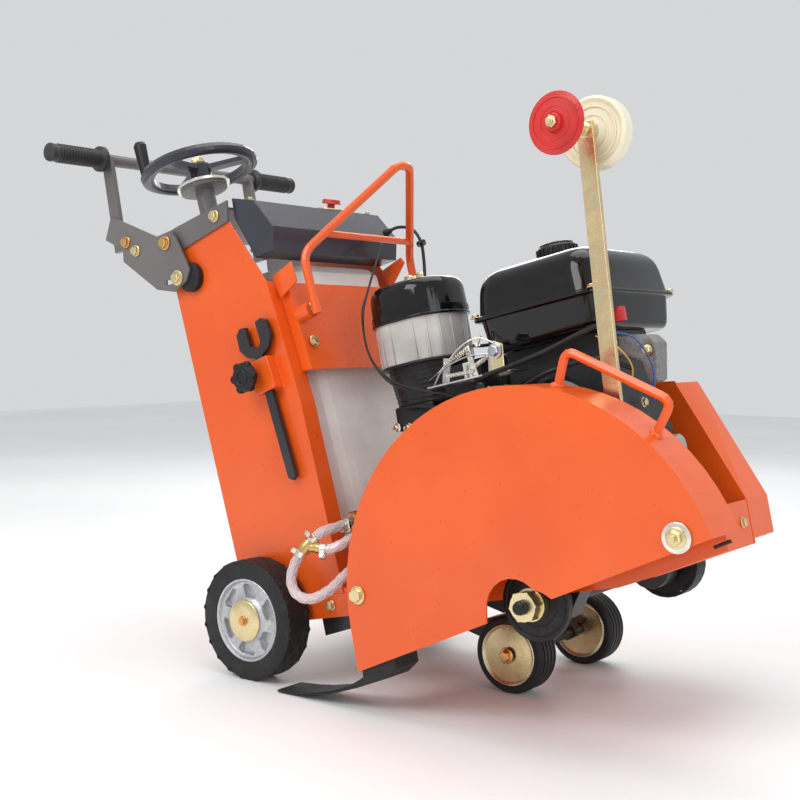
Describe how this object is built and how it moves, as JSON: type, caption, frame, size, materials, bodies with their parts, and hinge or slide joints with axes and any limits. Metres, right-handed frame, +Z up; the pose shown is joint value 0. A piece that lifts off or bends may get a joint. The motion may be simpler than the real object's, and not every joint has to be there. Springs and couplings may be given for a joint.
{
  "type": "walk-behind concrete saw",
  "caption": "Orange petrol walk-behind concrete saw with a lifting handwheel, water tank, blade guard and a folding guide arm.",
  "frame": {"origin": "centre of the footprint, on the floor", "axes": "+X forward (cutting direction), +Y to the operator's left, +Z up; stored tipped nose-up on its front wheels"},
  "size_m": [1.2563, 0.616, 0.9214],
  "materials": {
    "black_gloss": "gloss black",
    "black_iron": "black oxide",
    "black_paint": "satin black paint",
    "black_plastic": "moulded, fine grain",
    "cast_black": "black painted casting",
    "clear_bowl": "translucent",
    "clear_hose": "clear braided vinyl",
    "grey_paint": "grey powder coat",
    "grey_plastic": "moulded",
    "nylon": "natural nylon",
    "orange_paint": "gloss powder coat",
    "red_plastic": "moulded",
    "rubber": "moulded",
    "steel": "turned",
    "tank_plastic": "natural polyethylene",
    "zinc_plate": "yellow zinc plated"
  },
  "bodies": {
    "chassis": {"air_cleaner_body": "black_plastic", "air_cleaner_bowl": "clear_bowl", "air_cleaner_cover": "black_plastic", "bearing_left": "black_paint", "bearing_right": "black_paint", "belt_cover": "orange_paint", "clamp_disc": "rubber", "control_box": "black_paint", "deck_plate": "orange_paint", "drive_belt": "rubber", "engine_block": "cast_black", "fan_housing": "black_gloss", "fuel_tank": "black_gloss", "head_bracket": "grey_paint", "lifting_bail": "orange_paint", "muffler": "cast_black", "rear_axle": "zinc_plate", "side_plate_left": "orange_paint", "side_rail_right": "orange_paint", "throttle_cable": "rubber", "tower_back_panel": "orange_paint", "tower_front_panel": "orange_paint", "tower_side_left": "orange_paint", "tower_side_right": "orange_paint", "water_hose_branch": "clear_hose", "water_hose_loop": "clear_hose", "water_tank": "tank_plastic", "water_valve": "zinc_plate"},
    "tank_cap": {"tank_cap": "black_plastic"},
    "stop_button": {"stop_button": "red_plastic"},
    "recoil_grip": {"recoil_grip": "black_plastic"},
    "fuel_cap": {"fuel_cap": "black_plastic"},
    "throttle_lever": {"throttle_lever": "zinc_plate"},
    "oil_cap": {"oil_cap": "grey_plastic"},
    "blade_shaft": {"blade_shaft": "black_iron", "shaft_nut": "zinc_plate", "shaft_pulley": "black_iron"},
    "crankshaft": {"crank_pulley": "black_iron"},
    "swing_arm": {"swing_arm": "black_paint"},
    "rear_wheel_right": {"rear_wheel_right": "rubber"},
    "rear_wheel_left": {"rear_wheel_left": "rubber"},
    "front_wheel_right": {"front_wheel_right": "rubber"},
    "front_wheel_left": {"front_wheel_left": "rubber"},
    "handwheel": {"handwheel": "black_paint", "leadscrew": "steel"},
    "lift_nut": {"lift_nut": "steel"},
    "crank_knob": {"crank_knob": "black_plastic"},
    "handle": {"grip_left": "rubber", "grip_right": "rubber", "handle_plate_left": "grey_paint", "handle_plate_right": "grey_paint", "handlebar": "grey_paint"},
    "guard": {"blade_guard": "orange_paint", "splash_flap": "rubber"},
    "guide_arm": {"guide_arm": "zinc_plate"},
    "pointer_wheel": {"pointer_wheel": "red_plastic"},
    "guide_wheel": {"guide_wheel": "nylon"},
    "wrench": {"wrench": "black_paint"},
    "wrench_knob": {"wrench_knob": "black_plastic"},
    "valve_lever": {"valve_lever": "red_plastic"}
  },
  "joints": [
    {"name": "handwheel_turn", "type": "hinge", "parent": "chassis", "child": "handwheel", "pos_m": [-0.40796, -0.135, 0.86911], "axis": [-0.3074, 0, 0.9516], "range_deg": [0, 2090]},
    {"name": "crank_knob_spin", "type": "hinge", "parent": "handwheel", "child": "crank_knob", "pos_m": [-0.48107, -0.19318, 0.85317], "axis": [-0.3074, 0, 0.9516], "continuous": true},
    {"name": "lift_nut_travel", "type": "slide", "parent": "chassis", "child": "lift_nut", "axis": [0.3074, 0, -0.9516], "range_m": [0, 0.0291]},
    {"name": "front_axle_swing", "type": "hinge", "parent": "chassis", "child": "swing_arm", "pos_m": [-0.06586, 0, 0.12318], "axis": [0, -1, 0], "range_deg": [0, 16.6]},
    {"name": "front_wheel_right_spin", "type": "hinge", "parent": "swing_arm", "child": "front_wheel_right", "pos_m": [0.1879, -0.01, 0.0625], "axis": [0, 1, 0], "continuous": true},
    {"name": "front_wheel_left_spin", "type": "hinge", "parent": "swing_arm", "child": "front_wheel_left", "pos_m": [0.1879, 0.217, 0.0625], "axis": [0, 1, 0], "continuous": true},
    {"name": "rear_wheel_right_spin", "type": "hinge", "parent": "chassis", "child": "rear_wheel_right", "pos_m": [-0.19895, -0.21, 0.1], "axis": [0, 1, 0], "continuous": true},
    {"name": "rear_wheel_left_spin", "type": "hinge", "parent": "chassis", "child": "rear_wheel_left", "pos_m": [-0.19895, 0.21, 0.1], "axis": [0, 1, 0], "continuous": true},
    {"name": "blade_shaft_spin", "type": "hinge", "parent": "chassis", "child": "blade_shaft", "pos_m": [0.34864, 0, 0.19799], "axis": [0, 1, 0], "continuous": true},
    {"name": "crankshaft_spin", "type": "hinge", "parent": "chassis", "child": "crankshaft", "pos_m": [0.2862, 0, 0.3667], "axis": [0, 1, 0], "continuous": true},
    {"name": "handle_tilt", "type": "hinge", "parent": "chassis", "child": "handle", "pos_m": [-0.43746, 0, 0.73632], "axis": [0, 1, 0], "range_deg": [-26, 2]},
    {"name": "guard_lift", "type": "hinge", "parent": "chassis", "child": "guard", "pos_m": [0.06505, -0.22, 0.18065], "axis": [0, -1, 0], "range_deg": [0, 30]},
    {"name": "guide_arm_fold", "type": "hinge", "parent": "chassis", "child": "guide_arm", "pos_m": [0.45341, -0.15, 0.32556], "axis": [0, 1, 0], "range_deg": [0, 90]},
    {"name": "pointer_wheel_spin", "type": "hinge", "parent": "guide_arm", "child": "pointer_wheel", "pos_m": [0.38682, -0.23, 0.85529], "axis": [0, 1, 0], "continuous": true},
    {"name": "guide_wheel_spin", "type": "hinge", "parent": "guide_arm", "child": "guide_wheel", "pos_m": [0.38682, -0.12, 0.85529], "axis": [0, 1, 0], "continuous": true},
    {"name": "stop_button_press", "type": "slide", "parent": "chassis", "child": "stop_button", "axis": [-0.1326, 0, -0.9912], "range_m": [0, 0.005], "stiffness_N_per_m": 400, "springref_m": -0.002},
    {"name": "fuel_cap_turn", "type": "hinge", "parent": "chassis", "child": "fuel_cap", "pos_m": [0.23081, 0.04, 0.69945], "axis": [-0.2079, 0, 0.9781], "range_deg": [0, 90]},
    {"name": "tank_cap_turn", "type": "hinge", "parent": "chassis", "child": "tank_cap", "pos_m": [-0.33837, 0.11, 0.68377], "axis": [-0.2079, 0, 0.9781], "range_deg": [0, 720]},
    {"name": "oil_cap_turn", "type": "hinge", "parent": "chassis", "child": "oil_cap", "pos_m": [0.40694, 0.075, 0.39747], "axis": [0.9836, 0, 0.1803], "range_deg": [0, 1080]},
    {"name": "valve_lever_turn", "type": "hinge", "parent": "chassis", "child": "valve_lever", "pos_m": [-0.04681, -0.136, 0.28365], "axis": [0.2079, 0, -0.9781], "range_deg": [0, 90]},
    {"name": "wrench_slide", "type": "slide", "parent": "chassis", "child": "wrench", "axis": [-0.3554, 0, 0.9347], "range_m": [0, 0.15]},
    {"name": "wrench_knob_turn", "type": "hinge", "parent": "chassis", "child": "wrench_knob", "pos_m": [-0.21693, -0.1968, 0.50205], "axis": [0, -1, 0], "range_deg": [0, 720]},
    {"name": "recoil_pull", "type": "slide", "parent": "chassis", "child": "recoil_grip", "axis": [-0.5227, -0.3497, 0.7775], "range_m": [0, 0.4], "stiffness_N_per_m": 12, "springref_m": -0.08},
    {"name": "throttle_turn", "type": "hinge", "parent": "chassis", "child": "throttle_lever", "pos_m": [0.1983, -0.04, 0.49165], "axis": [-0.2079, 0, 0.9781], "range_deg": [-20, 20]}
  ],
  "couplings": [
    {"joint": "lift_nut_travel", "follows": "front_axle_swing", "m_per_rad": 0.099934},
    {"joint": "handwheel_turn", "follows": "front_axle_swing", "ratio": 125.58},
    {"joint": "crankshaft_spin", "follows": "blade_shaft_spin", "ratio": 1.1778}
  ]
}
